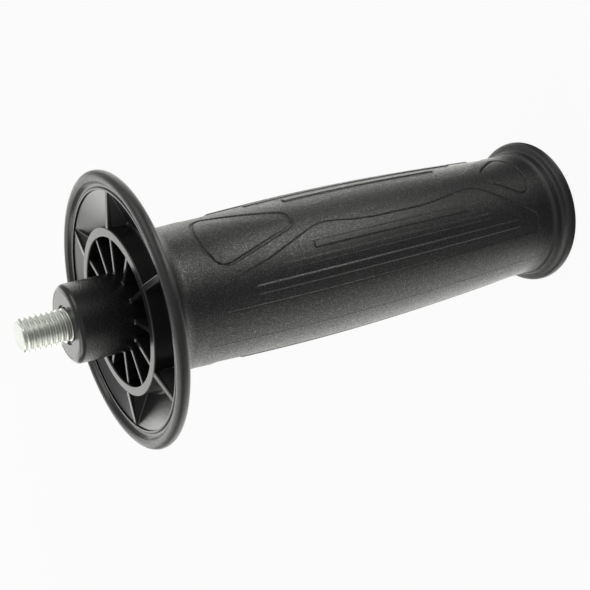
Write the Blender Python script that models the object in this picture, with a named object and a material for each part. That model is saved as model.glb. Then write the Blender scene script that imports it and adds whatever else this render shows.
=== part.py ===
"""Side handle of a power tool: a one-piece nylon moulding on a moulded-in M8 bolt.

The handle stands on its foot, with its axis along +Z and the thread on top.
All sizes are metres and all angles are degrees.
"""

from math import asin, atan2, cos, hypot, pi, radians, sin, tan

import bmesh
import bpy
from mathutils import Vector
from mathutils.geometry import delaunay_2d_cdt

# Whole handle
RING_HEIGHT = 0.1250          # foot to the front face of the ring
CLEARANCE = 0.0003            # between the moulding and the bolt
SEGMENTS = 60                 # facets round the turned faces
SLIGHT_BEND = 10              # degrees that one facet of a slight bend may turn

# Flange
FLANGE_RADIUS = 0.0328
RIM_BEAD_RADIUS = 0.0015
RIM_BEAD_DROP = 0.00125       # centre of the bead below the ring face
RIM_BEAD_END = 140            # where the bead stops, in degrees from its outermost line
RIM_WIDTH = 0.0045            # outer edge to the pockets
RIM_LIP_DROP = 0.0007
RIM_LIP_WIDTH = 0.00045
RIM_COVE_DEPTH = 0.0003
RIM_COVE_SLOPE_RUN = 0.0006   # width of the cove's slope up to the bead
FLANGE_BACK_ANGLE = 22.0      # slope of its back
POCKET_DEPTH_AT_RIM = 0.0013
POCKET_DEPTH_AT_RING = 0.0054
RIB_COUNT = 6
RIB_THICKNESS = 0.0015

# Ring and fins
RING_RADIUS = 0.0199
RING_WALL = 0.00225
RING_EDGE = 0.0004
FIN_COUNT = 12
FIN_THICKNESS = 0.0011
FIN_SETBACK = 0.0005
CORE_DEPTH = 0.1000           # how far the hollows between the fins reach
CORE_NECK_DEPTH = 0.0130
GRIP_WALL = 0.0025
CORE_DRAFT = 0.8
HOLLOW_MARGIN = 0.0001        # keeps a cut wall off the turned wall beside it

# Boss
BOSS_RADIUS = 0.0092
BOSS_PROJECTION = 0.0124
BOSS_EDGE_RADIUS = 0.0014
SEAT_WIDTH = 0.0006           # recess round the thread
SEAT_DEPTH = 0.0005

# Moulded-in bolt
BOLT_DIAMETER = 0.0080
BOLT_LENGTH = 0.0400
BOLT_PROJECTION = 0.01085
BOLT_CHAMFER = 0.0007
HEAD_ACROSS_FLATS = 0.0130
HEAD_HEIGHT = 0.0053
BOLT_SEGMENTS = 36

# Grip
NECK_RADIUS = 0.0171
NECK_DROP = 0.0150            # ring face down to where the neck's fillet starts
NECK_FILLET = 0.0050
BELLY_RADIUS = 0.01845
BELLY_DROP = 0.0580
WAIST_RADIUS = 0.0164
WAIST_HEIGHT = 0.0080
ROW_SPACING = 0.0080

# Collar and foot
COLLAR_RADIUS = 0.0194
COLLAR_BEAD_RADIUS = 0.0022
COLLAR_BEAD_END = 30          # where the bead stops, in degrees over its widest line
STEP_RADIUS = 0.0184          # edge between the bead and the cove
STEP_HEIGHT = 0.0035
COVE_RADIUS = 0.0014
COVE_RISE = 0.0004
LIP_RADIUS = 0.0172           # edge between the cove and the flare
LIP_HEIGHT = 0.0057
FLARE_RADIUS = 0.0020
FLARE_RISE = 0.0006
DISH_RADIUS = 0.0125
DISH_DEPTH = 0.0008

# Sunk pads, with bars left standing in them
PAD_DEPTH = 0.00045
PAD_WALL_RUN = 0.00035        # width of the sloping edge
PAD_FRONT = 0.0192            # drop from the ring face to the pad's front end
PAD_REAR = 0.0114             # height of its rear end over the foot
PAD_OUTER_ANGLE = 61.5        # its straight edge, from the middle of the grip's face
PAD_FRONT_ANGLE = 40.0        # where its front end meets the slanting edge
PAD_SLANT_DROP = 0.0325       # bend in the slanting edge
PAD_SLANT_ANGLE = 28.8
FRONT_SHOULDER = 0.0485       # drop to the front shoulder
FRONT_SHOULDER_ANGLE = 9.2
PAD_WAIST_DROP = 0.0605       # bends of the inner edge between the shoulders
PAD_WAIST_HEIGHT = 0.0455
PAD_WAIST_ANGLE = 15.6
REAR_SHOULDER = 0.0293        # height of the rear shoulder
REAR_SHOULDER_ANGLE = 7.2
PAD_REAR_SLANT = 0.0015       # how far its rear end leans
PAD_REAR_ANGLE = 42.0         # where its rear end meets the slanting edge
PAD_REAR_LEVEL_ANGLE = 46.0   # where its rear end turns level
PAD_CORNER_RADIUS = 0.0012
PAD_FRONT_RADIUS = 0.0016
PAD_SLANT_RADIUS = 0.0400
FRONT_SHOULDER_RADIUS = 0.0120
PAD_WAIST_RADIUS = 0.0600
REAR_SHOULDER_RADIUS = 0.0090
PAD_REAR_RADIUS = 0.0030
BAR_HALF_WIDTHS = (0.0007, 0.0006, 0.0009)
BAR_ANGLES = (26.4, 37.5, 49.9)
BAR_FRONTS = (0.0450, 0.0360, 0.0277)
BAR_REARS = (0.0348, 0.0270, 0.0180)
BAR_ROUNDING = 0.6            # corner radius as a share of half the bar's width

# Drop-shaped outlines on the middle of each face
GROOVE_WIDTH = 0.0009
GROOVE_DEPTH = 0.0004
FRONT_DROP_START = 0.0183
FRONT_DROP_CORNER = 0.0210
FRONT_DROP_TIP = 0.0421
FRONT_DROP_ANGLE = 29.3
FRONT_DROP_TIP_RADIUS = 0.0028
REAR_DROP_START = 0.0107
REAR_DROP_CORNER = 0.0135
REAR_DROP_TIP = 0.0232
REAR_DROP_ANGLE = 27.8
REAR_DROP_TIP_RADIUS = 0.0042
DROP_FLAT = 0.4               # share of the blunt end that is level
DROP_BOW = 5.0                # bow of the blunt end against its depth
DROP_CORNER_RADIUS = 0.0028


def clear_scene():
    for thing in list(bpy.data.objects):
        bpy.data.objects.remove(thing, do_unlink=True)


def make_material(name, colour, roughness, metallic):
    material = bpy.data.materials.new(name)
    material.use_nodes = True
    shader = material.node_tree.nodes["Principled BSDF"]
    shader.inputs["Base Color"].default_value = (*colour, 1.0)
    shader.inputs["Roughness"].default_value = roughness
    shader.inputs["Metallic"].default_value = metallic
    return material


def add_object(name, mesh_builder, material=None):
    """Turn a bmesh into an object, with its faces pointing out."""
    bmesh.ops.remove_doubles(mesh_builder, verts=mesh_builder.verts, dist=1e-6)
    bmesh.ops.recalc_face_normals(mesh_builder, faces=mesh_builder.faces)
    mesh = bpy.data.meshes.new(name)
    mesh_builder.to_mesh(mesh)
    mesh_builder.free()
    mesh.shade_smooth()
    mesh.set_sharp_from_angle(angle=radians(32))
    if material:
        mesh.materials.append(material)
    thing = bpy.data.objects.new(name, mesh)
    bpy.context.scene.collection.objects.link(thing)
    return thing


def arc(centre_r, centre_z, radius, start, end, steps):
    """Points of an arc, from one angle to another."""
    angles = [radians(start + (end - start) * i / steps) for i in range(steps + 1)]
    return [(centre_r + radius * cos(a), centre_z + radius * sin(a)) for a in angles]


def rounded(corners, closed, steps=4):
    """A path through (x, y, radius) corners, each turned into an arc of its radius.

    A slight bend gets fewer facets than the number of steps.
    """
    path = []
    count = len(corners)
    for i, (x, y, radius) in enumerate(corners):
        here = Vector((x, y))
        if radius == 0 or (not closed and i in (0, count - 1)):
            path.append((x, y))
            continue
        back = (Vector(corners[i - 1][:2]) - here)
        ahead = (Vector(corners[(i + 1) % count][:2]) - here)
        half = back.angle(ahead) / 2
        reach = min(radius / tan(half), 0.49 * min(back.length, ahead.length))
        radius = reach * tan(half)
        middle = here + (back.normalized() + ahead.normalized()).normalized() * radius / sin(half)
        first = here + back.normalized() * reach - middle
        last = here + ahead.normalized() * reach - middle
        start = atan2(first.y, first.x)
        sweep = (atan2(last.y, last.x) - start + pi) % (2 * pi) - pi
        facets = max(2, min(steps, round(abs(sweep) / radians(SLIGHT_BEND))))
        for k in range(facets + 1):
            angle = start + sweep * k / facets
            path.append((middle.x + radius * cos(angle), middle.y + radius * sin(angle)))
    return path


def turned(builder, profile):
    """Revolve an (r, z) profile; a point on the axis becomes one pole."""
    rings = []
    for r, z in profile:
        if r < 1e-7:
            rings.append([builder.verts.new((0, 0, z))])
            continue
        angles = [2 * pi * k / SEGMENTS for k in range(SEGMENTS)]
        rings.append([builder.verts.new((r * cos(a), r * sin(a), z)) for a in angles])
    for low, high in zip(rings, rings[1:]):
        for k in range(SEGMENTS):
            n = (k + 1) % SEGMENTS
            if len(low) == 1:
                builder.faces.new((low[0], high[k], high[n]))
            elif len(high) == 1:
                builder.faces.new((low[k], low[n], high[0]))
            else:
                builder.faces.new((low[k], low[n], high[n], high[k]))


def grip_radius(height):
    """Barrel of the grip, falling as a quarter cosine from the belly to the neck and to the waist."""
    belly = RING_HEIGHT - BELLY_DROP
    if height < belly:
        end_r, end = WAIST_RADIUS, WAIST_HEIGHT
    else:
        end_r, end = NECK_RADIUS, RING_HEIGHT - NECK_DROP
    share = (height - belly) / (end - belly)
    return end_r + (BELLY_RADIUS - end_r) * cos(pi / 2 * share)


# Turned faces

def foot_and_collar():
    """Profile from the middle of the foot up to the grip's waist."""
    bead_r = COLLAR_RADIUS - COLLAR_BEAD_RADIUS
    dish = [(0, DISH_DEPTH), (DISH_RADIUS - DISH_DEPTH, DISH_DEPTH), (DISH_RADIUS, 0)]
    bead = arc(bead_r, COLLAR_BEAD_RADIUS, COLLAR_BEAD_RADIUS, -90, COLLAR_BEAD_END, 6)
    cove = [
        (STEP_RADIUS, STEP_HEIGHT, 0),
        (LIP_RADIUS, STEP_HEIGHT + COVE_RISE, COVE_RADIUS),
        (LIP_RADIUS, LIP_HEIGHT, 0),
    ]
    flare = [
        (LIP_RADIUS, LIP_HEIGHT, 0),
        (WAIST_RADIUS, LIP_HEIGHT + FLARE_RISE, FLARE_RADIUS),
        (WAIST_RADIUS, WAIST_HEIGHT, 0),
    ]
    return dish + bead + rounded(cove, False, 3) + rounded(flare, False, 3)[1:]


def floor_drop(r):
    """Depth of a flange pocket's sloping floor below the ring face."""
    outer = FLANGE_RADIUS - RIM_WIDTH
    share = (outer - r) / (outer - RING_RADIUS)
    return POCKET_DEPTH_AT_RIM + (POCKET_DEPTH_AT_RING - POCKET_DEPTH_AT_RIM) * share


def flange_ring_and_boss():
    """Profile from the neck over the flange, the ring and the boss to the axis."""
    top = RING_HEIGHT
    pocket_r = FLANGE_RADIUS - RIM_WIDTH
    bead_r = FLANGE_RADIUS - RIM_BEAD_RADIUS
    bead = arc(bead_r, top - RIM_BEAD_DROP, RIM_BEAD_RADIUS, FLANGE_BACK_ANGLE - 90, RIM_BEAD_END, 9)
    under_r, under_z = bead[0]
    neck_z = under_z - (under_r - NECK_RADIUS) * tan(radians(FLANGE_BACK_ANGLE))
    neck = [
        (NECK_RADIUS, top - NECK_DROP, 0),
        (NECK_RADIUS, neck_z, NECK_FILLET),
        (under_r, under_z, 0),
    ]
    lip_z = top - RIM_LIP_DROP
    cove_z = lip_z - RIM_COVE_DEPTH
    lip_r = pocket_r + RIM_LIP_WIDTH
    inner_r = RING_RADIUS - RING_WALL
    fins_z = top - FIN_SETBACK
    boss_z = top + BOSS_PROJECTION
    boss_edge = arc(BOSS_RADIUS - BOSS_EDGE_RADIUS, boss_z - BOSS_EDGE_RADIUS, BOSS_EDGE_RADIUS, 0, 90, 4)
    seat_r = BOLT_DIAMETER / 2 + SEAT_WIDTH
    return (
        rounded(neck, False)[:-1]
        + bead
        + [(bead[-1][0] - RIM_COVE_SLOPE_RUN, cove_z), (lip_r + RIM_COVE_DEPTH, cove_z)]
        + [(lip_r, lip_z), (pocket_r, lip_z)]
        + [(RING_RADIUS, top - RING_EDGE), (RING_RADIUS - RING_EDGE, top)]
        + [(inner_r + RING_EDGE / 2, top), (inner_r, top - RING_EDGE / 2), (inner_r, fins_z)]
        + [(BOSS_RADIUS, fins_z)]
        + boss_edge
        + [(seat_r, boss_z), (seat_r, boss_z - SEAT_DEPTH), (0, boss_z - SEAT_DEPTH)]
    )


# Grip face, laid out flat for one quarter and then mirrored and turned
# Flat points are (height, arc length at the belly)

def on_layout(height, angle):
    return (height, BELLY_RADIUS * radians(angle))


def pad_outline():
    top = RING_HEIGHT
    spots = [
        (top - PAD_FRONT, PAD_OUTER_ANGLE, PAD_CORNER_RADIUS),
        (top - PAD_FRONT, PAD_FRONT_ANGLE, PAD_FRONT_RADIUS),
        (top - PAD_SLANT_DROP, PAD_SLANT_ANGLE, PAD_SLANT_RADIUS),
        (top - FRONT_SHOULDER, FRONT_SHOULDER_ANGLE, FRONT_SHOULDER_RADIUS),
        (top - PAD_WAIST_DROP, PAD_WAIST_ANGLE, PAD_WAIST_RADIUS),
        (PAD_WAIST_HEIGHT, PAD_WAIST_ANGLE, PAD_WAIST_RADIUS),
        (REAR_SHOULDER, REAR_SHOULDER_ANGLE, REAR_SHOULDER_RADIUS),
        (PAD_REAR + PAD_REAR_SLANT, PAD_REAR_ANGLE, PAD_REAR_RADIUS),
        (PAD_REAR, PAD_REAR_LEVEL_ANGLE, PAD_REAR_RADIUS),
        (PAD_REAR, PAD_OUTER_ANGLE, PAD_CORNER_RADIUS),
    ]
    return rounded([(*on_layout(h, a), radius) for h, a, radius in spots], closed=True)


def bar_outline(number):
    middle = BELLY_RADIUS * radians(BAR_ANGLES[number])
    half = BAR_HALF_WIDTHS[number]
    front = RING_HEIGHT - BAR_FRONTS[number]
    rear = BAR_REARS[number]
    edge = half * BAR_ROUNDING
    corners = [
        (front, middle + half, edge),
        (front, middle - half, edge),
        (rear, middle - half, edge),
        (rear, middle + half, edge),
    ]
    return rounded(corners, closed=True, steps=2)


def half_drop(start, corner, tip, angle, tip_r):
    """Half of a drop-shaped outline, from the middle of its blunt end to its tip."""
    side = BELLY_RADIUS * radians(angle)
    bow = abs(corner - start) * DROP_BOW
    reach = abs(tip - corner) - tip_r
    half_point = atan2(side, reach) - asin(tip_r / hypot(side, reach))
    ahead = tip_r / sin(half_point) - tip_r
    point = tip + ahead * (1 if tip > corner else -1)
    corners = [
        (start, side * DROP_FLAT, bow),
        (corner, side, DROP_CORNER_RADIUS),
        (point, 0, tip_r),
        (corner, -side, DROP_CORNER_RADIUS),
        (start, -side * DROP_FLAT, bow),
    ]
    outline = rounded(corners, closed=True, steps=4)
    half = [spot for spot in outline if spot[1] > tip_r / 10]
    end = min(outline, key=lambda spot: abs(spot[0] - point))
    return [(start, 0)] + half + [(end[0], 0)]


def spread(path, closed, spacing):
    """Add points to a path so that no straight stretch is longer than the spacing."""
    ends = path[1:] + path[:1] if closed else path[1:]
    result = []
    for (ax, ay), (bx, by) in zip(path, ends):
        parts = max(1, round(hypot(bx - ax, by - ay) / spacing))
        result += [(ax + (bx - ax) * k / parts, ay + (by - ay) * k / parts) for k in range(parts)]
    return result if closed else result + [path[-1]]


def shifted(path, closed, distance):
    """Move a path to its left; an open one ends square on the middle line."""
    count = len(path)
    result = []
    for i, (x, y) in enumerate(path):
        if closed or 0 < i < count - 1:
            before, after = path[i - 1], path[(i + 1) % count]
            run, rise = after[0] - before[0], after[1] - before[1]
        else:
            run, rise = 0.0, 1.0 if i == 0 else -1.0
        length = hypot(run, rise)
        result.append((x - rise / length * distance, y + run / length * distance))
    return result


def inwards(path, distance):
    """Move a closed path into its own area, or outwards for a negative distance."""
    ends = path[1:] + path[:1]
    turn = sum(ax * by - bx * ay for (ax, ay), (bx, by) in zip(path, ends))
    return shifted(path, True, distance if turn > 0 else -distance)


def contains(path, x, y):
    inside = False
    for (ax, ay), (bx, by) in zip(path, path[1:] + path[:1]):
        if (ay > y) != (by > y) and x < ax + (y - ay) / (by - ay) * (bx - ax):
            inside = not inside
    return inside


def gap_to(path, closed, x, y):
    """Distance from a point to the nearest stretch of a path."""
    nearest = 1.0
    ends = path[1:] + path[:1] if closed else path[1:]
    for (ax, ay), (bx, by) in zip(path, ends):
        run, rise = bx - ax, by - ay
        share = ((x - ax) * run + (y - ay) * rise) / (run * run + rise * rise)
        share = min(1, max(0, share))
        nearest = min(nearest, hypot(ax + run * share - x, ay + rise * share - y))
    return nearest


class Layout:
    """Points and edges of the flat quarter, each point with its height off the barrel."""

    def __init__(self):
        self.spots = []
        self.edges = []
        self.levels = []
        self.loops = []

    def add(self, path, closed, level):
        first = len(self.spots)
        self.spots += [Vector(spot) for spot in path]
        self.levels += [level] * len(path)
        self.edges += [(first + i, first + i + 1) for i in range(len(path) - 1)]
        if closed:
            self.edges.append((first + len(path) - 1, first))
        self.loops.append((path, closed))

    def add_point(self, x, y, level):
        self.spots.append(Vector((x, y)))
        self.levels.append(level)


def quarter_layout():
    """Triangles of one flat quarter of the grip, with the pad, bars and drops."""
    low, high = WAIST_HEIGHT, RING_HEIGHT - NECK_DROP
    width = BELLY_RADIUS * pi / 2
    columns = [width * k / (SEGMENTS // 4) for k in range(SEGMENTS // 4 + 1)]
    row_count = round((high - low) / ROW_SPACING)
    rows = [low + (high - low) * k / row_count for k in range(row_count + 1)]
    layout = Layout()

    pad = spread(pad_outline(), True, ROW_SPACING)
    pad_floor = inwards(pad, PAD_WALL_RUN)
    layout.add(pad, True, 0.0)
    layout.add(pad_floor, True, -PAD_DEPTH)
    for number in range(len(BAR_ANGLES)):
        bar = spread(bar_outline(number), True, ROW_SPACING)
        layout.add(bar, True, 0.0)
        layout.add(inwards(bar, -PAD_WALL_RUN), True, -PAD_DEPTH)

    top = RING_HEIGHT
    front = half_drop(
        top - FRONT_DROP_START, top - FRONT_DROP_CORNER, top - FRONT_DROP_TIP,
        FRONT_DROP_ANGLE, FRONT_DROP_TIP_RADIUS,
    )
    rear = half_drop(
        REAR_DROP_START, REAR_DROP_CORNER, REAR_DROP_TIP,
        REAR_DROP_ANGLE, REAR_DROP_TIP_RADIUS,
    )
    middle_line = []
    for drop in (front, rear):
        drop = spread(drop, False, ROW_SPACING / 2)
        for side, level in ((GROOVE_WIDTH / 2, 0.0), (0.0, -GROOVE_DEPTH), (-GROOVE_WIDTH / 2, 0.0)):
            edge = shifted(drop, False, side)
            layout.add(edge, False, level)
            middle_line += [edge[0][0], edge[-1][0]]

    crowded = ROW_SPACING / 6
    for x in rows:
        on_edge = x in (rows[0], rows[-1])
        for y in columns:
            on_side = y in (0, columns[-1])
            if not on_edge and y == 0 and min(abs(x - spot) for spot in middle_line) < crowded:
                continue
            if not on_edge and not on_side:
                if min(gap_to(loop, closed, x, y) for loop, closed in layout.loops) < crowded:
                    continue
            level = -PAD_DEPTH if contains(pad_floor, x, y) else 0.0
            layout.add_point(x, y, level)
    spots, _, faces, origins, _, _ = delaunay_2d_cdt(layout.spots, layout.edges, [], 0, 1e-7)
    levels = [layout.levels[origin[0]] if origin else 0.0 for origin in origins]
    return spots, levels, faces


def grip_face(builder):
    """Wrap the flat quarter round the barrel four times."""
    spots, levels, faces = quarter_layout()
    for middle in (-90, 90):
        for side in (-1, 1):
            ring = []
            for (height, along), level in zip(spots, levels):
                r = grip_radius(height) + level
                angle = radians(middle) + side * along / BELLY_RADIUS
                ring.append(builder.verts.new((r * cos(angle), r * sin(angle), height)))
            for face in faces:
                builder.faces.new([ring[i] for i in face])


# Hollows cut into the moulding

def sector(builder, start, end, half_gap, levels, steps):
    """A closed wedge between two radial walls, through (inner r, inner z, outer r, outer z) levels."""
    layers = []
    for inner_r, inner_z, outer_r, outer_z in levels:
        layer = []
        for r, z in ((inner_r, inner_z), (outer_r, outer_z)):
            first = radians(start) + half_gap / r
            last = radians(end) - half_gap / r
            angles = [first + (last - first) * k / steps for k in range(steps + 1)]
            layer.append([builder.verts.new((r * cos(a), r * sin(a), z)) for a in angles])
        layers.append(layer)
    for (inner_a, outer_a), (inner_b, outer_b) in zip(layers, layers[1:]):
        for k in range(steps):
            builder.faces.new((inner_a[k], inner_a[k + 1], inner_b[k + 1], inner_b[k]))
            builder.faces.new((outer_a[k], outer_b[k], outer_b[k + 1], outer_a[k + 1]))
        builder.faces.new((inner_a[0], inner_b[0], outer_b[0], outer_a[0]))
        builder.faces.new((inner_a[-1], outer_a[-1], outer_b[-1], inner_b[-1]))
    for inner, outer in (layers[0], layers[-1]):
        for k in range(steps):
            builder.faces.new((inner[k], outer[k], outer[k + 1], inner[k + 1]))


def cut_flange_pockets(builder):
    top = RING_HEIGHT
    inner_r = RING_RADIUS + HOLLOW_MARGIN
    outer_r = FLANGE_RADIUS - RIM_WIDTH - HOLLOW_MARGIN
    levels = [
        (inner_r, top + SEAT_DEPTH, outer_r, top + SEAT_DEPTH),
        (inner_r, top - floor_drop(inner_r), outer_r, top - floor_drop(outer_r)),
    ]
    turn = 360 / RIB_COUNT
    for k in range(RIB_COUNT):
        sector(builder, k * turn, (k + 1) * turn, RIB_THICKNESS / 2, levels, steps=10)


def cut_core_hollows(builder):
    """Deep hollows between the fins, narrowing with the mould's draft."""
    top = RING_HEIGHT
    inner_r = BOSS_RADIUS + HOLLOW_MARGIN
    neck_r = NECK_RADIUS - GRIP_WALL
    narrowing = (CORE_DEPTH - CORE_NECK_DEPTH) * tan(radians(CORE_DRAFT))
    levels = [
        (inner_r, top, RING_RADIUS - RING_WALL - HOLLOW_MARGIN, top),
        (inner_r, top - CORE_NECK_DEPTH, neck_r, top - CORE_NECK_DEPTH),
        (inner_r + narrowing, top - CORE_DEPTH, neck_r - narrowing, top - CORE_DEPTH),
    ]
    turn = 360 / FIN_COUNT
    for k in range(FIN_COUNT):
        sector(builder, k * turn, (k + 1) * turn, FIN_THICKNESS / 2, levels, steps=4)


# Bolt

def bolt_shape(builder, grown, overrun):
    """Hex-headed bolt, or with grown sides the space it fills in the moulding."""
    tip = RING_HEIGHT + BOSS_PROJECTION + BOLT_PROJECTION
    under_head = tip - BOLT_LENGTH
    shank_r = BOLT_DIAMETER / 2 + grown
    flat_r = HEAD_ACROSS_FLATS / 2 + grown
    head_low, head_high = under_head - HEAD_HEIGHT - grown, under_head + grown
    end_r = shank_r if overrun else shank_r - BOLT_CHAMFER
    angles = [2 * pi * k / BOLT_SEGMENTS for k in range(BOLT_SEGMENTS)]
    hexagon = [flat_r / cos((a + pi / 6) % (pi / 3) - pi / 6) for a in angles]
    sections = [
        (hexagon, head_low),
        (hexagon, head_high),
        ([shank_r] * BOLT_SEGMENTS, head_high),
        ([shank_r] * BOLT_SEGMENTS, tip - BOLT_CHAMFER),
        ([end_r] * BOLT_SEGMENTS, tip),
    ]
    rings = [
        [builder.verts.new((r * cos(a), r * sin(a), z)) for r, a in zip(radii, angles)]
        for radii, z in sections
    ]
    for low, high in zip(rings, rings[1:]):
        for k in range(BOLT_SEGMENTS):
            n = (k + 1) % BOLT_SEGMENTS
            builder.faces.new((low[k], low[n], high[n], high[k]))
    builder.faces.new(rings[0][::-1])
    builder.faces.new(rings[-1])


def make_stud(material):
    builder = bmesh.new()
    bolt_shape(builder, 0.0, overrun=False)
    return add_object("threaded_stud", builder, material)


def make_hollows():
    """Everything that is cut out of the moulding, as one guide object."""
    builder = bmesh.new()
    cut_flange_pockets(builder)
    cut_core_hollows(builder)
    bolt_shape(builder, CLEARANCE, overrun=True)
    hollows = add_object("hollows", builder)
    hollows.hide_render = True
    hollows.display_type = "WIRE"
    return hollows


def make_handle(material, hollows):
    builder = bmesh.new()
    turned(builder, foot_and_collar())
    grip_face(builder)
    turned(builder, flange_ring_and_boss())
    handle = add_object("handle_body", builder, material)
    cut = handle.modifiers.new("hollows", "BOOLEAN")
    cut.operation = "DIFFERENCE"
    cut.object = hollows
    return handle


def main():
    clear_scene()
    nylon = make_material("black_nylon", (0.016, 0.016, 0.017), 0.42, 0.0)
    zinc = make_material("zinc_plated_steel", (0.72, 0.73, 0.70), 0.28, 1.0)
    make_handle(nylon, make_hollows())
    make_stud(zinc)


main()
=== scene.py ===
import bpy
import numpy as np
from mathutils import Euler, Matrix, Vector


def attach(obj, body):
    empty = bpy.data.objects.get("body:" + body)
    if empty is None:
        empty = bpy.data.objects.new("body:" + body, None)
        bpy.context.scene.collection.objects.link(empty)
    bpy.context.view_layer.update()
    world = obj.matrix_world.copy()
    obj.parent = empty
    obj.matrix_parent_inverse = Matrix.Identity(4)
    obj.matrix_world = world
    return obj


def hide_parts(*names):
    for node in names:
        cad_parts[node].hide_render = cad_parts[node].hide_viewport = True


mm = 0.001    # the shapes below are worked out in mm

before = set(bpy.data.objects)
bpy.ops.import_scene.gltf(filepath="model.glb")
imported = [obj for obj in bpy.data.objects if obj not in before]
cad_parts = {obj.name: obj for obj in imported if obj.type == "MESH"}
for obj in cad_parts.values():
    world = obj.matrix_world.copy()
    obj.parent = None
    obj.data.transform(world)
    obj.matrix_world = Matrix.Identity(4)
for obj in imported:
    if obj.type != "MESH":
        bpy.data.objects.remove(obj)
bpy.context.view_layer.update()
print("frame loaded")


# Paths and grids of points, and the meshes made from them

def inScene(name, data):
    thing = bpy.data.objects.new(name, data)
    bpy.context.scene.collection.objects.link(thing)
    return thing


def arcPath(centreR, centreZ, radius, startDeg, endDeg, steps):
    # the centre plus the radius times the cosine and sine of evenly spaced angles
    angle = np.radians(np.linspace(startDeg, endDeg, steps + 1))
    return np.stack([centreR + radius * np.cos(angle), centreZ + radius * np.sin(angle)], 1)


def roundedPath(corners, steps=5, closed=False, mostOfRun=0.49):
    # straight runs through (x, y, radius) corners, each corner swapped for an arc that touches
    # both its runs and takes no more than about half of either
    spots = np.array(corners, float)
    count = len(spots)
    pieces = []
    for i in range(count):
        here, radius = spots[i, :2], spots[i, 2]
        if radius == 0 or (not closed and i in (0, count - 1)):
            pieces.append(here[None])
            continue
        back = spots[i - 1, :2] - here
        ahead = spots[(i + 1) % count, :2] - here
        backLength, aheadLength = np.hypot(*back), np.hypot(*ahead)
        back, ahead = back / backLength, ahead / aheadLength
        half = np.arccos(np.clip(back @ ahead, -1, 1)) / 2
        reach = min(radius / np.tan(half), mostOfRun * min(backLength, aheadLength))
        radius = reach * np.tan(half)
        bisector = (back + ahead) / np.hypot(*(back + ahead))
        middle = here + bisector * radius / np.sin(half)
        first, last = here + back * reach - middle, here + ahead * reach - middle
        start = np.arctan2(first[1], first[0])
        sweep = (np.arctan2(last[1], last[0]) - start + np.pi) % (2 * np.pi) - np.pi
        angle = start + sweep * np.linspace(0, 1, steps + 1)
        pieces.append(middle + radius * np.stack([np.cos(angle), np.sin(angle)], 1))
    return np.concatenate(pieces)


def held(path, gap=0.05):
    # a point close to both ends of every long run keeps its shading flat between two curves
    steps = np.diff(path, axis=0)
    lengths = np.hypot(steps[:, 0], steps[:, 1])
    pieces = []
    for start, step, length in zip(path, steps, lengths):
        shares = [0, gap / length, 1 - gap / length] if length > 4 * gap else [0]
        pieces.append(start + step * np.array(shares)[:, None])
    return np.concatenate(pieces + [path[-1:]])


def softStep(x):
    # 0 below 0, 1 above 1, and three x squared less two x cubed between
    x = np.clip(x, 0, 1)
    return x * x * (3 - 2 * x)


def gridMesh(name, points, wrap=True, poleFirst=False, poleLast=False, normals=None, sharpDeg=None):
    # one quad between every four neighbours of a rows x columns grid of points, facing away
    # from the axis when rows climb and columns run anticlockwise; a pole row becomes one point
    rows, columns = points.shape[:2]
    index = np.arange(rows * columns).reshape(rows, columns)
    if poleFirst:
        index[0] = index[0, 0]
    if poleLast:
        index[-1] = index[-1, 0]
    used = np.unique(index)
    renumber = np.zeros(rows * columns, int)
    renumber[used] = np.arange(len(used))
    here = renumber[index if wrap else index[:, :-1]]
    beside = renumber[np.roll(index, -1, axis=1) if wrap else index[:, 1:]]
    quads = np.stack([here[:-1], beside[:-1], beside[1:], here[1:]], -1)
    faces = []
    if poleFirst:
        faces += quads[0][:, [0, 2, 3]].tolist()
        quads = quads[1:]
    if poleLast:
        faces += quads[-1][:, [0, 1, 2]].tolist()
        quads = quads[:-1]
    faces += quads.reshape(-1, 4).tolist()
    mesh = bpy.data.meshes.new(name)
    mesh.from_pydata(points.reshape(-1, 3)[used].tolist(), [], faces)
    mesh.update()
    mesh.shade_smooth()
    if sharpDeg:
        mesh.set_sharp_from_angle(angle=np.radians(sharpDeg))
    if normals is not None:
        mesh.normals_split_custom_set_from_vertices(normals.reshape(-1, 3)[used].tolist())
    return inScene(name, mesh)


# Grip: barrel, pads with their bars, and drop outlines

barrel = {
    "neckRadius": 17.1, "neckHeight": 110.0,
    "bellyRadius": 18.45, "bellyHeight": 67.0,
    "waistRadius": 16.4, "waistHeight": 8.0,
    "patternFrom": 9.5, "patternTo": 109.5, "rowStep": 0.27,
}
pad = {
    "depth": 0.30, "wall": 0.30,
    # height, degrees from the middle of the face, corner radius
    "outline": [
        (105.8, 61.5, 1.2), (105.8, 40.0, 1.6), (92.5, 28.8, 40.0), (76.5, 9.2, 12.0), (64.5, 15.6, 60.0),
        (45.5, 15.6, 60.0), (29.3, 7.2, 9.0), (12.9, 42.0, 3.0), (11.4, 46.0, 3.0), (11.4, 61.5, 1.2),
    ],
    # degrees from the middle of the face, half width, front end, rear end
    "bars": [(26.4, 0.70, 80.0, 34.8), (37.5, 0.60, 89.0, 27.0), (49.9, 0.90, 97.3, 18.0)],
    "barRounding": 0.5,    # corner radius as a share of half the bar's width
}
drops = {
    "width": 1.0, "depth": 0.34, "wall": 0.32, "crown": 0.10, "crownRun": 3,
    "front": {"start": 106.9, "corner": 104.5, "tip": 82.9, "angle": 28.5, "tipRadius": 3.0},
    "rear": {"start": 10.7, "corner": 13.5, "tip": 23.1, "angle": 28.0, "tipRadius": 4.2},
    "flat": 0.4,    # share of the blunt end that is level
    "bow": 6.0,     # radius of the bends beside it, against the end's depth
    "cornerRadius": 3.2,
}
parting = {"height": 0.06, "width": 0.16}


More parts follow.
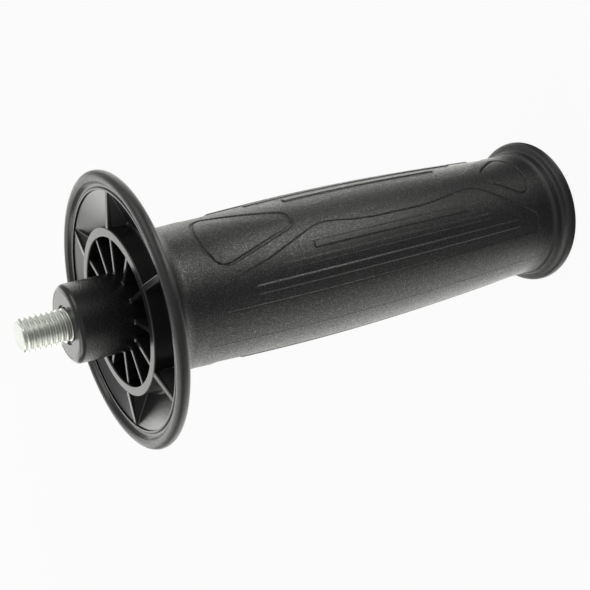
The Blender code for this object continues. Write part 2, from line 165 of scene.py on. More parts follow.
def barrelRadius(height):
    # a quarter cosine from the belly to the waist and one to the neck
    b = barrel
    low = height < b["bellyHeight"]
    endRadius = np.where(low, b["waistRadius"], b["neckRadius"])
    run = np.where(low, b["bellyHeight"] - b["waistHeight"], b["neckHeight"] - b["bellyHeight"])
    share = np.clip(np.abs(height - b["bellyHeight"]) / run, 0, 1)
    return endRadius + (b["bellyRadius"] - endRadius) * np.cos(np.pi / 2 * share)


def unrolled(degrees):
    # length of an angle along the belly's circle
    return barrel["bellyRadius"] * np.radians(degrees)


def outlineDistance(path, x, y):
    # distance from each point to the nearest side of the closed path, negative outside it
    run = np.roll(path, -1, axis=0) - path
    best = np.full(x.shape, np.inf)
    inside = np.zeros(x.shape, bool)
    for (ax, ay), (rx, ry) in zip(path, run):
        share = np.clip(((x - ax) * rx + (y - ay) * ry) / (rx * rx + ry * ry), 0, 1)
        best = np.minimum(best, (ax + rx * share - x) ** 2 + (ay + ry * share - y) ** 2)
        crosses = (ay > y) != (ay + ry > y)
        with np.errstate(divide="ignore", invalid="ignore"):
            inside ^= crosses & (x < ax + (y - ay) / ry * rx)
    return np.where(inside, 1, -1) * np.sqrt(best)


def dropPath(shape):
    # a bowed blunt end, two corners, and straight sides that touch the arc of the tip
    side = unrolled(shape["angle"])
    bow = abs(shape["corner"] - shape["start"]) * drops["bow"]
    tipRadius = shape["tipRadius"]
    reach = abs(shape["tip"] - shape["corner"]) - tipRadius
    half = np.arctan2(side, reach) - np.arcsin(tipRadius / np.hypot(side, reach))
    ahead = tipRadius / np.sin(half) - tipRadius
    point = shape["tip"] + ahead * np.sign(shape["tip"] - shape["corner"])
    return roundedPath([
        (shape["start"], side * drops["flat"], bow),
        (shape["corner"], side, drops["cornerRadius"]),
        (point, 0, tipRadius),
        (shape["corner"], -side, drops["cornerRadius"]),
        (shape["start"], -side * drops["flat"], bow),
    ], steps=10, closed=True)


padPath = roundedPath([(h, unrolled(a), r) for h, a, r in pad["outline"]], steps=8, closed=True)
dropPaths = [dropPath(drops["front"]), dropPath(drops["rear"])]


def relief(height, angle):
    # how far the skin stands off the plain barrel, with the angle in radians: lower inside a pad's
    # outline but for its bars, lower along the drops' outlines, and higher on the parting line
    fold = np.abs(np.mod(angle, np.pi) - np.pi / 2)
    across = fold * barrel["bellyRadius"]
    sunk = softStep(0.5 + outlineDistance(padPath, height, across) / pad["wall"])
    for degrees, half, front, rear in pad["bars"]:
        rounding = half * pad["barRounding"]
        pastEnd = np.abs(height - (front + rear) / 2) - (front - rear) / 2 + rounding
        pastSide = np.abs(across - unrolled(degrees)) - half + rounding
        corner = np.hypot(np.maximum(pastEnd, 0), np.maximum(pastSide, 0))
        outside = corner + np.minimum(np.maximum(pastEnd, pastSide), 0) - rounding
        sunk = sunk * softStep(0.5 + (outside - pad["wall"] / 2) / pad["wall"])
    stands = -pad["depth"] * sunk
    for path in dropPaths:
        away = outlineDistance(path, height, across)
        stands = stands - drops["depth"] * softStep((drops["width"] / 2 - np.abs(away)) / drops["wall"])
        stands = stands + drops["crown"] * softStep((away - drops["width"] / 2) / drops["crownRun"])
    seam = np.abs(np.mod(angle + np.pi / 2, np.pi) - np.pi / 2) * barrel["bellyRadius"]
    return stands + parting["height"] * (1 - softStep(seam / parting["width"]))


# Outside of the handle as one profile, from the foot's middle to the cove on the flange's rim

collar = {
    "dish": (12.5, 0.8), "dishSlope": 0.6, "dishCorner": 0.5, "dishEdge": 0.4,
    "beadCentre": (17.2, 2.2), "beadRadius": 2.2, "beadEnd": 28,
    "step": (18.4, 3.5), "stepEdge": 0.25, "coveRise": 0.4, "coveRadius": 1.4,
    "lip": (17.2, 5.7), "lipEdge": 0.22, "flareRise": 0.6, "flareRadius": 2.0,
}
flange = {
    "ringFace": 125.0, "radius": 32.8, "backAngle": 22.0, "neckFillet": 5.0,
    "beadRadius": 1.5, "beadDrop": 1.25, "beadEnd": 140,
    "tuck": [(0.03, -0.15), (0.03, -0.4)],    # how the skin's end turns in under the flange's face
    "rimWidth": 4.5, "lipDrop": 0.7, "lipWidth": 0.45, "coveDepth": 0.3, "coveRun": 0.6,
    "floorAtRim": 1.3, "floorAtRing": 5.4,
}
skinColumns = {
    # close columns over the pads and drops, wide ones over the plain sides, a few at the parting line
    "patternedTo": 63.5, "patternedCount": 86,
    "plain": [66, 69, 72.5, 76, 79.5, 83, 86, 88.2, 89.2, 89.55, 89.8, 90.0],
}


def rimBead():
    # arc from where it touches the flange's sloping back to the cove on its front
    f = flange
    return arcPath(f["radius"] - f["beadRadius"], f["ringFace"] - f["beadDrop"], f["beadRadius"],
                   f["backAngle"] - 90, f["beadEnd"], steps=26)


def skinProfile():
    # foot, bead, cove and flare of the collar, the barrel, the neck's fillet, and the flange's rim
    c, b = collar, barrel
    beadR, beadZ = c["beadCentre"]
    dishR, dishDepth = c["dish"]
    foot = roundedPath([
        (0, dishDepth, 0), (dishR - c["dishSlope"], dishDepth, c["dishCorner"]),
        (dishR, 0, c["dishEdge"]), (beadR, 0, 0),
    ], steps=4)
    bead = arcPath(beadR, beadZ, c["beadRadius"], -90, c["beadEnd"], steps=16)
    stepR, stepZ = c["step"]
    lipR, lipZ = c["lip"]
    cove = roundedPath([
        (*bead[-1], 0), (stepR, stepZ, c["stepEdge"]), (lipR, stepZ + c["coveRise"], c["coveRadius"]),
        (lipR, lipZ, c["lipEdge"]), (b["waistRadius"], lipZ + c["flareRise"], c["flareRadius"]),
        (b["waistRadius"], b["waistHeight"], 0),
    ])[1:]
    grip = np.arange(b["waistHeight"], b["neckHeight"], b["rowStep"])[1:]
    rim = rimBead()
    underR, underZ = rim[0]
    neckZ = underZ - (underR - b["neckRadius"]) * np.tan(np.radians(flange["backAngle"]))
    neck = roundedPath([
        (b["neckRadius"], b["neckHeight"], 0), (b["neckRadius"], neckZ, flange["neckFillet"]),
        (underR, underZ, 0),
    ], steps=12)
    tucked = rim[-1] + np.array(flange["tuck"])
    barrelPath = np.stack([barrelRadius(grip), grip], 1)
    return np.concatenate([held(foot)[:-1], bead, cove, barrelPath, held(neck)[:-1], rim, tucked])


def makeSkin(name, middleDeg):
    # the profile turned half round the axis and moved along its own normal by the relief, with
    # shading normals from the relief's slopes; a tangent leans to the shorter of its two steps
    profile = skinProfile()
    steps = np.diff(profile, axis=0)
    lengths = np.hypot(steps[:, 0], steps[:, 1])[:, None]
    ways = steps / lengths
    tangent = np.concatenate([ways[:1], ways[:-1] / lengths[:-1] + ways[1:] / lengths[1:], ways[-1:]])
    tangent /= np.hypot(tangent[:, 0], tangent[:, 1])[:, None]
    patternedDeg = np.linspace(0, skinColumns["patternedTo"], skinColumns["patternedCount"])
    quarter = np.concatenate([patternedDeg, skinColumns["plain"]])
    angle = np.radians(middleDeg) + np.radians(np.concatenate([-quarter[::-1], quarter[1:]]))
    r, z = profile[:, :1], profile[:, 1:]
    patterned = (z > barrel["patternFrom"]) & (z < barrel["patternTo"])
    height, around = np.broadcast_arrays(z, angle[None])
    nudge = 0.04
    def slope(rise, turn):
        change = relief(height + rise, around + turn) - relief(height - rise, around - turn)
        return np.where(patterned, change / (2 * nudge), 0)
    stands = np.where(patterned, relief(height, around), 0)
    slopeUp, slopeRound = slope(nudge, 0), slope(0, nudge / barrel["bellyRadius"])
    outR, outZ = tangent[:, 1:], -tangent[:, :1]
    pointR, pointZ = r + stands * outR, z + stands * outZ
    normalR = outR - slopeUp * tangent[:, :1]
    normalZ = outZ - slopeUp * tangent[:, 1:]
    cos, sin = np.cos(around), np.sin(around)
    points = np.stack([pointR * cos, pointR * sin, np.broadcast_to(pointZ, around.shape)], -1) * mm
    normals = np.stack([normalR * cos + slopeRound * sin, normalR * sin - slopeRound * cos,
                        np.broadcast_to(normalZ, around.shape)], -1)
    normals /= np.linalg.norm(normals, axis=-1, keepdims=True)
    return gridMesh(name, points, wrap=False, poleFirst=True, normals=normals)


skins = [makeSkin("gripSkinFront", -90), makeSkin("gripSkinBack", 90)]
print("grip skin made", [len(s.data.polygons) for s in skins])


# Face of the flange: boss, fins with hollows, ring, ribs with pockets, rim lip

face = {
    "bossRadius": 9.2, "bossTop": 137.4, "bossEdge": 1.35,
    "bossSideFrom": 134.0, "bossSideEnd": 0.4, "bossSideRows": 5,
    "bossFace": 7.75,    # radius of its flat, with a fine groove round it, as offsets in r and z
    "groove": [(-0.1, 0), (0.03, -0.07), (0.14, 0)], "grooveCorner": 0.03,
    "seatRadius": 4.6, "seatDepth": 0.4, "seatCorner": 0.1, "seatEdge": 0.12,
    "boreRadius": 4.05, "boreFloor": 100.0,
    "finTop": 124.5, "finHalf": 0.55, "finCount": 12,
    "finRise": 0.25, "finRiseAtRing": 0.05,         # how far a fin's top climbs the boss and the ring
    "hollowFloor": 25.0, "hollowCorner": 2.0, "hollowColumns": 12,
    "hollowTop": (0.02, 0.2), "hollowWall": 1.2,    # where it starts beside the boss, and the wall's draft
    "hollowFromRing": 4.6, "hollowNeck": (14.6, 110.0), "hollowMouth": (0.35, 118.5), "hollowBend": 4.0,
    "ringInner": 17.66, "ringOuter": 19.9, "ringEdge": 0.3, "ringFoot": 0.7,
    "ribHalf": 0.75, "ribAtRing": 124.95, "ribAtLip": 124.05, "ribRise": 0.3,
    "pocketTop": 0.45, "pocketWall": 0.12, "pocketFillet": 0.7,
    "pocketRim": (0.03, 0.15, 0.2),                 # draft, corner radius and drop of its wall at the rim
    "lipFoot": 0.15, "lipEdge": 0.15, "coveEdge": 0.2, "beadFillet": 1.0, "beadTuck": (0.1, 0.3),
    "edge": 0.22, "fillet": 0.35, "wallDraft": 0.12,
    "topHold": 0.02, "floorHold": 0.03,             # close columns that keep tops and floors flat
    "angleHeldTo": 9.0,                             # nearer the axis the columns keep their angles
}
plainZone, finZone, ribZone = 0, 1, 2


def bossPath():
    # bore, seat of the stud, flat with its round groove, rounded edge, side
    f = face
    top, radius, edge = f["bossTop"], f["bossRadius"], f["bossEdge"]
    seatZ = top - f["seatDepth"]
    turned = arcPath(radius - edge, top - edge, edge, 90, 0, steps=10)
    corners = [
        (0, f["boreFloor"], 0), (f["boreRadius"], f["boreFloor"], 0),
        (f["boreRadius"], seatZ, f["seatCorner"]), (f["seatRadius"], seatZ, f["seatCorner"]),
        (f["seatRadius"], top, f["seatEdge"]),
    ]
    corners += [(f["bossFace"] + r, top + z, f["grooveCorner"]) for r, z in f["groove"]]
    sideZ = np.linspace(f["bossSideFrom"], f["finTop"] + f["bossSideEnd"], f["bossSideRows"])
    side = np.stack([np.full(len(sideZ), radius), sideZ], 1)
    return np.concatenate([held(roundedPath(corners + [(*turned[0], 0)], steps=3)), turned[1:], side])


def hollowPath():
    # down the boss to the floor and up along the grip's wall to the ring
    f = face
    bossR, ringR, finTop = f["bossRadius"], f["ringInner"], f["finTop"]
    topR, topDrop = f["hollowTop"]
    mouthR, mouthZ = f["hollowMouth"]
    return roundedPath([
        (bossR, finTop + f["finRise"], 0), (bossR + topR, finTop - topDrop, 0),
        (bossR + f["hollowWall"], f["hollowFloor"], f["hollowCorner"]),
        (ringR - f["hollowFromRing"], f["hollowFloor"], f["hollowCorner"]),
        (*f["hollowNeck"], f["hollowBend"]), (ringR - mouthR, mouthZ, f["hollowBend"]),
        (ringR, flange["ringFace"] - f["ringFoot"], 0), (ringR, flange["ringFace"] - f["ringEdge"], 0),
    ])


def faceProfiles():
    # each station holds r and z on top of a fin or rib, then r and z on the sunk floor beside it
    f = face
    top, e = flange["ringFace"], f["ringEdge"]
    boss, hollow = bossPath(), hollowPath()
    finTops = np.stack([np.linspace(f["bossRadius"], f["ringInner"], len(hollow)),
                        np.full(len(hollow), f["finTop"])], 1)
    finTops[0, 1] = f["finTop"] + f["finRise"]
    finTops[-2:] = [(f["ringInner"], f["finTop"] + f["finRiseAtRing"]), (f["ringInner"], top - e)]
    ring = held(np.concatenate([
        arcPath(f["ringInner"] + e, top - e, e, 180, 90, steps=4)[1:],
        arcPath(f["ringOuter"] - e, top - e, e, 90, 20, steps=4),
    ]))
    lipZ = top - flange["lipDrop"]
    pocketR = flange["radius"] - flange["rimWidth"]
    rimWall, rimCorner, rimTop = f["pocketRim"]
    pocket = held(roundedPath([
        (f["ringOuter"], top - f["pocketTop"], 0),
        (f["ringOuter"] + f["pocketWall"], top - flange["floorAtRing"], f["pocketFillet"]),
        (pocketR - rimWall, top - flange["floorAtRim"], rimCorner), (pocketR, lipZ - rimTop, 0),
    ]))
    ribHeights = np.interp(pocket[:, 0], [f["ringOuter"], pocketR], [f["ribAtRing"], f["ribAtLip"]])
    ribTops = np.stack([pocket[:, 0], ribHeights], 1)
    ribTops[0, 1] = top - f["ribRise"]
    pocket[:, 1] = np.minimum(pocket[:, 1], ribTops[:, 1])
    coveZ = lipZ - flange["coveDepth"]
    beadR, beadZ = rimBead()[-1]
    tuckR, tuckZ = f["beadTuck"]
    lipEnd = pocketR + flange["lipWidth"]
    rim = held(roundedPath([
        (pocketR, lipZ - f["lipFoot"], 0), (pocketR, lipZ, f["lipEdge"]), (lipEnd, lipZ, f["lipEdge"]),
        (lipEnd + flange["coveDepth"], coveZ, f["coveEdge"]),
        (beadR - flange["coveRun"], coveZ, f["beadFillet"]), (beadR, beadZ, 0),
        (beadR + tuckR, beadZ - tuckZ, 0),
    ]))
    raisedAndSunk = [(boss, boss), (finTops, hollow), (ring, ring), (ribTops, pocket), (rim, rim)]
    stations = np.concatenate([np.concatenate(pair, 1) for pair in raisedAndSunk])
    zones = np.repeat([plainZone, finZone, plainZone, ribZone, plainZone],
                      [len(raised) for raised, sunk in raisedAndSunk])
    return stations, zones


def makeFace():
    # the stations carried round the axis: over each fin's rounded top edges, down its drafted
    # sides, through the fillets at its foot, and on evenly to the next fin
    f = face
    stations, zones = faceProfiles()
    upR, upZ, downR, downZ = stations.T
    e, fillet = f["edge"], f["fillet"]
    bend = np.radians(np.linspace(0, 90, 5))
    # offsets are measured from the fin's side, drops from its top and rises from the floor
    topOffset = np.concatenate([[-e * 2, -e - f["topHold"]], -e + e * np.sin(bend)])
    topDrop = np.concatenate([[0, 0], e * (1 - np.cos(bend))])
    footOffset = f["wallDraft"] + fillet * (1 - np.cos(bend))
    lowOffset = np.concatenate([footOffset, [f["wallDraft"] + fillet + f["floorHold"]]])
    lowRise = np.concatenate([fillet * (1 - np.sin(bend)), [0]])
    between = np.linspace(0, 1, f["hollowColumns"] + 1)[1:-1]
    pitch = 2 * np.pi / f["finCount"]
    middleR = np.maximum((upR + downR) / 2, f["angleHeldTo"])
    half = np.where(zones == ribZone, f["ribHalf"], f["finHalf"])
    columns = []
    for k in range(f["finCount"]):
        ribbed = k % 2 == 0
        raised = (zones == finZone) | ((zones == ribZone) & ribbed)
        middle = k * pitch
        def topColumn(offset, drop):
            r = np.where(raised, upR, downR)
            z = np.where(raised, np.maximum(upZ - drop, downZ), downZ)
            return r, z, middle + (half + offset) / middleR
        def lowColumn(offset, rise):
            z = np.minimum(downZ + rise, np.maximum(upZ - e, downZ))
            return downR, np.where(zones == plainZone, downZ, z), middle + (half + offset) / middleR
        right = [topColumn(offset, drop) for offset, drop in zip(topOffset, topDrop)]
        right += [lowColumn(offset, rise if ribbed else np.where(zones == finZone, rise, 0))
                  for offset, rise in zip(lowOffset, lowRise)]
        left = [(r, z, 2 * middle - a) for r, z, a in right[::-1]]
        centreR, centreZ, _ = topColumn(0, 0)
        columns += left + [(centreR, centreZ, np.full(len(stations), middle))] + right
        endAngle = right[-1][2]
        nextStart = (k + 1) * pitch - (endAngle - middle)
        columns += [(downR, downZ, endAngle + (nextStart - endAngle) * share) for share in between]
    r, z, a = [np.stack(part, 1) for part in zip(*columns)]
    points = np.stack([r * np.cos(a), r * np.sin(a), z], -1) * mm
    # rows run outwards over the top here, so the order is turned round to face up
    return gridMesh("flangeFace", points[::-1], wrap=True, poleLast=True, sharpDeg=38)


flangeFace = makeFace()
print("flange face made", len(flangeFace.data.polygons))


# Threaded stud

stud = {
    "tip": 148.25, "crest": 3.96, "root": 3.36, "pitch": 1.25, "crestFlat": 0.34, "softness": 0.07,
    "flankSlope": 1.732,    # for 60 degrees between the flanks
    "chamfer": 3.5, "chamferSlope": 0.55, "fadeRun": 0.9, "threadStart": 126.0,
    "tipEdge": 0.18, "tipEdgeFrom": 15, "tipHold": 0.1, "tipFlat": 1.6,
    "headTop": 108.25, "headHeight": 5.3, "headHalf": 6.5,
    "columns": 96, "rowStep": 0.045,
}


def threadRadius(height, angle):
    # crest where the helix passes, straight flanks, root and crest rounded by soft limits;
    # the groove fades out into the cone at the tip
    s = stud
    phase = np.mod((height - s["tip"]) / s["pitch"] - angle / (2 * np.pi), 1.0)
    away = np.abs(phase - 0.5) * s["pitch"]
    flank = s["crest"] - (away - s["crestFlat"] / 2) * s["flankSlope"]
    soft = s["softness"]
    fromTip = s["tip"] - height
    cone = s["chamfer"] + fromTip * s["chamferSlope"]
    root = s["root"] + (s["chamfer"] - s["root"]) * (1 - softStep(fromTip / s["fadeRun"]))
    thread = root + soft * np.log1p(np.exp((flank - root) / soft))
    thread = s["crest"] - soft * np.log1p(np.exp((s["crest"] - thread) / soft))
    return np.minimum(thread, cone)


def makeStud():
    # hexagon head and plain shank out of sight, thread over height and angle, rounded edge and tip
    s = stud
    around = np.linspace(0, 2 * np.pi, s["columns"] + 1)[:-1]
    every = np.ones(len(around))
    low = s["headTop"] - s["headHeight"]
    hexagon = s["headHalf"] / np.cos(np.mod(around + np.pi / 6, np.pi / 3) - np.pi / 6)
    headR = [0 * every, hexagon, hexagon, s["crest"] * every, s["crest"] * every]
    headZ = np.outer([low, low, s["headTop"], s["headTop"], s["threadStart"] - 1], every)
    fine = np.arange(s["threadStart"], s["tip"] - s["tipEdge"], s["rowStep"])
    height, angle = np.meshgrid(fine, around, indexing="ij")
    edgeR, edgeZ = s["chamfer"] - s["tipEdge"], s["tip"] - s["tipEdge"]
    edge = arcPath(edgeR, edgeZ, s["tipEdge"], s["tipEdgeFrom"], 90, steps=4)
    ends = np.concatenate([edge, [(edgeR - s["tipHold"], s["tip"]), (s["tipFlat"], s["tip"]), (0, s["tip"])]])
    r = np.concatenate([headR, threadRadius(height, angle), np.outer(ends[:, 0], every)])
    z = np.concatenate([headZ, height, np.outer(ends[:, 1], every)])
    points = np.stack([r * np.cos(around), r * np.sin(around), z], -1) * mm
    return gridMesh("studThread", points, wrap=True, poleFirst=True, poleLast=True, sharpDeg=50)


studThread = makeStud()
print("stud made", len(studThread.data.polygons))


# Shader maths on sockets

class Wire:
    def __init__(self, tree, socket):
        self.tree, self.socket = tree, socket

    def math(self, operation, first, second=None):
        node = self.tree.nodes.new("ShaderNodeMath")
        node.operation = operation
        for place, value in enumerate((first, second)):
            if isinstance(value, Wire):
                self.tree.links.new(value.socket, node.inputs[place])
            elif value is not None:
                node.inputs[place].default_value = value
        return Wire(self.tree, node.outputs[0])

    def __add__(self, other):
        return self.math("ADD", self, other)

    def __radd__(self, other):
        return self.math("ADD", other, self)

    def __sub__(self, other):
        return self.math("SUBTRACT", self, other)

    def __rsub__(self, other):
        return self.math("SUBTRACT", other, self)

    def __mul__(self, other):
        return self.math("MULTIPLY", self, other)

    def __rmul__(self, other):
        return self.math("MULTIPLY", other, self)

    def __pow__(self, other):
        return self.math("POWER", self, other)

    def apply(self, operation, other=None):
        return self.math(operation, self, other)

    def clamp(self, low=0.0, high=1.0):
        return self.apply("MINIMUM", high).apply("MAXIMUM", low)


class Finish:
    # a material, or the world, with its tree; add() makes a node from its type, settings and inputs
    def __init__(self, name, owner=None):
        self.material = owner or bpy.data.materials.new(name)
        self.material.use_nodes = True
        self.tree = self.material.node_tree
        self.shader = self.tree.nodes["Background" if owner else "Principled BSDF"]
        self.objectCoords = self.add("ShaderNodeTexCoord", {}, {}, "Object")

    def add(self, kind, settings, inputs, output=0):
        node = self.tree.nodes.new(kind)
        for key, value in settings.items():
            setattr(node, key, value)
        self.fill(node, inputs)
        return Wire(self.tree, node.outputs[output])

    def fill(self, node, inputs):
        for key, value in inputs.items():
            if isinstance(value, Wire):
                self.tree.links.new(value.socket, node.inputs[key])
            else:
                node.inputs[key].default_value = value

    def cylinder(self):
        # angle round the object's axis in radians, distance from it and height in metres
        split = self.add("ShaderNodeSeparateXYZ", {}, {"Vector": self.objectCoords}).socket.node
        x, y, z = [Wire(self.tree, output) for output in split.outputs]
        return y.apply("ARCTAN2", x), (x * x + y * y).apply("SQRT"), z

    def noise(self, scale, detail=3.0, rough=0.6):
        return self.add("ShaderNodeTexNoise", {"noise_dimensions": "3D"}, {
            "Vector": self.objectCoords, "Scale": scale, "Detail": detail, "Roughness": rough,
        }, "Fac")

    def sparkle(self, size, contrast):
        # single bright grains: noise stretched round its middle and cut off at none and full
        return ((self.noise(size, detail=1.0, rough=0.5) - 0.5) * contrast).clamp()

    def blend(self, share, first, second):
        colours = {0: share, 6: (*first, 1), 7: (*second, 1)}
        return self.add("ShaderNodeMix", {"data_type": "RGBA"}, colours, 2)

    def bump(self, height):
        return self.add("ShaderNodeBump", {}, {"Height": height, "Distance": 1.0}, "Normal")

    def ray(self, kind):
        return self.add("ShaderNodeLightPath", {}, {}, kind)

    def surface(self, **inputs):
        self.fill(self.shader, {key.replace("_", " "): value for key, value in inputs.items()})
        return self.material


# Finishes, with places and heights in metres and noise sizes in grains per metre

gripFinish = {
    "dark": (0.0060, 0.0066, 0.0064), "pale": (0.0100, 0.0108, 0.0105), "ior": 1.46,
    "roughness": 0.36, "mottleRange": 0.20, "cloudRange": 0.08, "cloudSize": 60,
    "grainSize": 3600, "grainHeight": 0.00010, "mottleSize": 1100, "mottleHeight": 0.00003,
    "sparkle": 0.9, "sparkleSize": 3000, "sparkleContrast": 4.5, "coatRoughness": 0.34, "coatIor": 1.6,
    "evened": 0.8, "evenSparkle": 0.225, "collarTop": 0.0066, "rimFrom": 0.0195,
}
smoothFinish = {
    "dark": (0.0055, 0.0060, 0.0058), "pale": (0.0085, 0.0090, 0.0088), "ior": 1.52,
    "roughness": 0.22, "range": 0.08, "grainSize": 2200, "cloudSize": 120, "grainHeight": 0.00002,
    "rougher": 0.00006, "coatRoughness": 0.28, "coatIor": 1.8,
    "pocketGloss": 0.5, "pocketInner": 0.0202, "pocketOuter": 0.0283, "pocketTop": 0.1238,
    "bossOuter": 0.0094, "bossLow": 0.1246, "bossHigh": 0.1366,
    "bossSparkle": 0.15, "sparkleSize": 3000, "sparkleContrast": 4.5,
}
zincFinish = {
    "colour": (0.74, 0.76, 0.74), "tint": (0.66, 0.67, 0.61), "roughness": 0.30, "range": 0.16,
    "grainSize": 1400, "cloudSize": 300, "grainHeight": 0.000012, "endFrom": 0.1482, "endRoughness": 0.25,
}


def grainedNylon():
    # spark-eroded skin: fine grain over a coarser mottle, both only a few hundredths deep
    g = gripFinish
    paint = Finish("grainedNylon")
    grain = paint.noise(g["grainSize"], detail=2.0)
    mottle = paint.noise(g["mottleSize"])
    cloud = paint.noise(g["cloudSize"], detail=4.0)
    rough = g["roughness"] + (mottle - 0.5) * g["mottleRange"] + (cloud - 0.5) * g["cloudRange"]
    # the sparkle is nearly even on the collar and the flange's rim, which are smoother than the grip
    _, away, z = paint.cylinder()
    plain = z.apply("LESS_THAN", g["collarTop"]).apply("MAXIMUM", away.apply("GREATER_THAN", g["rimFrom"]))
    spark = paint.sparkle(g["sparkleSize"], g["sparkleContrast"]) * g["sparkle"]
    glint = spark + plain * g["evened"] * (g["evenSparkle"] - spark)
    return paint.surface(
        Base_Color=paint.blend(cloud, g["dark"], g["pale"]), Roughness=rough, IOR=g["ior"],
        Normal=paint.bump(grain * g["grainHeight"] + mottle * g["mottleHeight"]),
        Coat_Weight=glint, Coat_Roughness=g["coatRoughness"], Coat_IOR=g["coatIor"],
    )


def smoothNylon():
    # polished but for the pocket floors between the ribs and the boss's side, which are spark-eroded
    g = smoothFinish
    paint = Finish("smoothNylon")
    grain = paint.noise(g["grainSize"])
    cloud = paint.noise(g["cloudSize"], detail=4.0)
    _, away, z = paint.cylinder()
    pocket = away.apply("GREATER_THAN", g["pocketInner"]) * away.apply("LESS_THAN", g["pocketOuter"])
    pocket = pocket * z.apply("LESS_THAN", g["pocketTop"])
    boss = away.apply("LESS_THAN", g["bossOuter"]) * z.apply("GREATER_THAN", g["bossLow"])
    boss = boss * z.apply("LESS_THAN", g["bossHigh"])
    spark = paint.sparkle(g["sparkleSize"], g["sparkleContrast"]) * g["bossSparkle"]
    rough = g["roughness"] + (grain - 0.5) * g["range"] + (cloud - 0.5) * g["range"]
    return paint.surface(
        Base_Color=paint.blend(cloud, g["dark"], g["pale"]), Roughness=rough, IOR=g["ior"],
        Normal=paint.bump(grain * ((pocket + boss) * g["rougher"] + g["grainHeight"])),
        Coat_Weight=pocket * g["pocketGloss"] + boss * spark,
        Coat_Roughness=g["coatRoughness"], Coat_IOR=g["coatIor"],
    )


def zincPlate():
    # the cut end is duller than the rolled thread
    g = zincFinish
    paint = Finish("zincPlate")
    grain = paint.noise(g["grainSize"])
    cloud = paint.noise(g["cloudSize"])
    _, _, z = paint.cylinder()
    end = z.apply("GREATER_THAN", g["endFrom"])
    return paint.surface(
        Base_Color=paint.blend(cloud, g["colour"], g["tint"]), Metallic=1.0,
        Roughness=g["roughness"] + (grain - 0.5) * g["range"] + end * g["endRoughness"],
        Normal=paint.bump(grain * g["grainHeight"]),
    )


gripMaterial, smoothMaterial, zincMaterial = grainedNylon(), smoothNylon(), zincPlate()
for skin in skins:
    skin.data.materials.append(gripMaterial)
flangeFace.data.materials.append(smoothMaterial)
studThread.data.materials.append(zincMaterial)

for piece in skins + [flangeFace]:
    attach(piece, "root")
    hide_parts("handle_body")
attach(studThread, "root")
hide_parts("threaded_stud")
print("finishes and pieces placed")


# Floor, lamps and camera

studio = {
    "floorSize": 6.0, "floorColour": 0.8, "floorRoughness": 0.8, "glossyFloor": 0.4,
    "cameraFloor": 0.97,    # brightness of floor and world to the camera, and how far it hides shade
    # painted light that only mirror rays see on the floor: degrees round the object, strength, narrowness
    "paintedGlow": [(115, 2.6, 5), (160, 1.6, 14), (-6, 3.0, 9), (60, 1.0, 2), (-94, 0.9, 26)],
    # the glint is one more narrow lobe of painted light on the floor, which the object shows as a painted
    # highlight
    "glint": {"degrees": -88, "strength": 17.0, "narrowness": 32, "middle": 0.2, "spread": 0.07},
    # name, degrees round the object, degrees up, distance, size, watts
    "lamps": [
        ("backLamp", 49, 14, 0.9, 0.75, 2.8),
        ("keyLamp", 100, 52, 0.9, 0.6, 2.6),
        ("sideLamp", -60, 40, 0.9, 0.6, 2.0),
    ],
    "lampAim": (0, 0, 0.1), "tint": (1.0, 1.0, 0.96), "world": 0.48,
}
view = {
    "place": (-0.16282, -0.19064, 0.21381),    # metres
    "turn": (-25.184, 58.452, -157.916),       # degrees about x, then y, then z
    "lens": 70.011, "sensor": 36, "clip": 0.01,
}


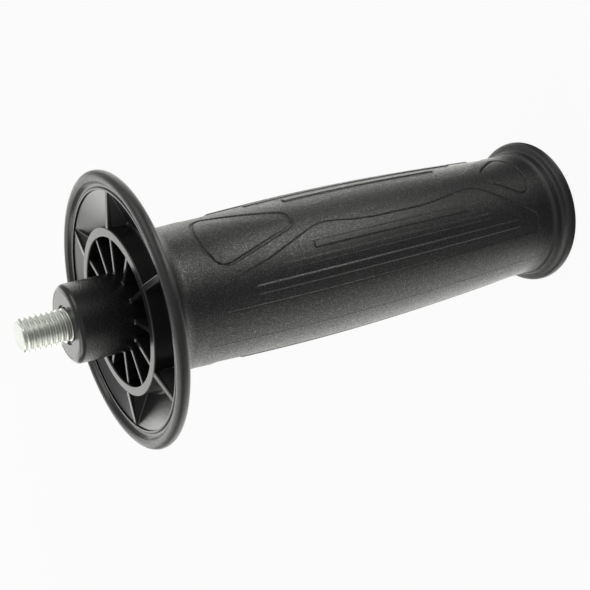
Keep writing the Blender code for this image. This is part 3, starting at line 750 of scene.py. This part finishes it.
def makeFloor():
    # one square that looks white to the camera and gives mirror rays broad lobes of painted light, each a
    # power of the cosine of the angle from its middle, which the object shows as painted reflections
    side = studio["floorSize"] / 2
    mesh = bpy.data.meshes.new("floor")
    corners = [(-side, -side, 0), (side, -side, 0), (side, side, 0), (-side, side, 0)]
    mesh.from_pydata(corners, [], [(0, 1, 2, 3)])
    paint = Finish("paleFloor")
    shade = studio["floorColour"]
    paint.surface(Base_Color=(shade, shade, shade, 1), Roughness=studio["floorRoughness"])
    angle, away, _ = paint.cylinder()
    def lobe(degrees, narrowness):
        return (angle - np.radians(degrees)).apply("COSINE").clamp() ** narrowness
    light = sum(lobe(degrees, narrowness) * strength for degrees, strength, narrowness in studio["paintedGlow"])
    g = studio["glint"]
    # the painted glint's lobe also fades away from one distance, by a bell curve
    bell = (((away - g["middle"]) * (1 / g["spread"])) ** 2 * -1).apply("EXPONENT")
    light = light + bell * lobe(g["degrees"], g["narrowness"]) * g["strength"]
    white = paint.add("ShaderNodeEmission", {}, {"Color": (1, 1, 1, 1), "Strength": studio["cameraFloor"]})
    # painted light: the floor glows for mirror rays though it is no lamp
    paintedGlow = paint.add("ShaderNodeEmission", {}, {"Color": (*studio["tint"], 1), "Strength": light})
    own = Wire(paint.tree, paint.shader.outputs[0])
    mirrorShare = paint.ray("Is Glossy Ray") * (1 - studio["glossyFloor"])
    cameraShare = paint.ray("Is Camera Ray") * studio["cameraFloor"]
    mirrored = paint.add("ShaderNodeMixShader", {}, {0: mirrorShare, 1: own, 2: paintedGlow})
    mixed = paint.add("ShaderNodeMixShader", {}, {0: cameraShare, 1: mirrored, 2: white})
    paint.tree.links.new(mixed.socket, paint.tree.nodes["Material Output"].inputs[0])
    mesh.materials.append(paint.material)
    inScene("floor", mesh)


def makeLamps():
    for name, degrees, up, distance, size, watts in studio["lamps"]:
        lamp = bpy.data.lights.new(name, "AREA")
        lamp.energy, lamp.size, lamp.color = watts, size, studio["tint"]
        way = Euler((0, -np.radians(up), np.radians(degrees))).to_matrix() @ Vector((1, 0, 0))
        thing = inScene(name, lamp)
        thing.location = Vector(studio["lampAim"]) + way * distance
        thing.rotation_euler = (-way).to_track_quat("-Z", "Y").to_euler()


def makeWorld():
    world = bpy.data.worlds.new("studio")
    bpy.context.scene.world = world
    paint = Finish("studio", world)
    strength = paint.ray("Is Camera Ray") * (studio["cameraFloor"] - studio["world"]) + studio["world"]
    paint.surface(Color=(1, 1, 1, 1), Strength=strength)


def makeCamera():
    camera = bpy.data.cameras.new("camera")
    camera.sensor_width, camera.lens, camera.clip_start = view["sensor"], view["lens"], view["clip"]
    thing = inScene("camera", camera)
    thing.location = view["place"]
    thing.rotation_euler = [np.radians(degrees) for degrees in view["turn"]]
    bpy.context.scene.camera = thing


makeFloor()
makeLamps()
makeWorld()
makeCamera()
bpy.context.scene.view_settings.view_transform = "Standard"
print("studio set")
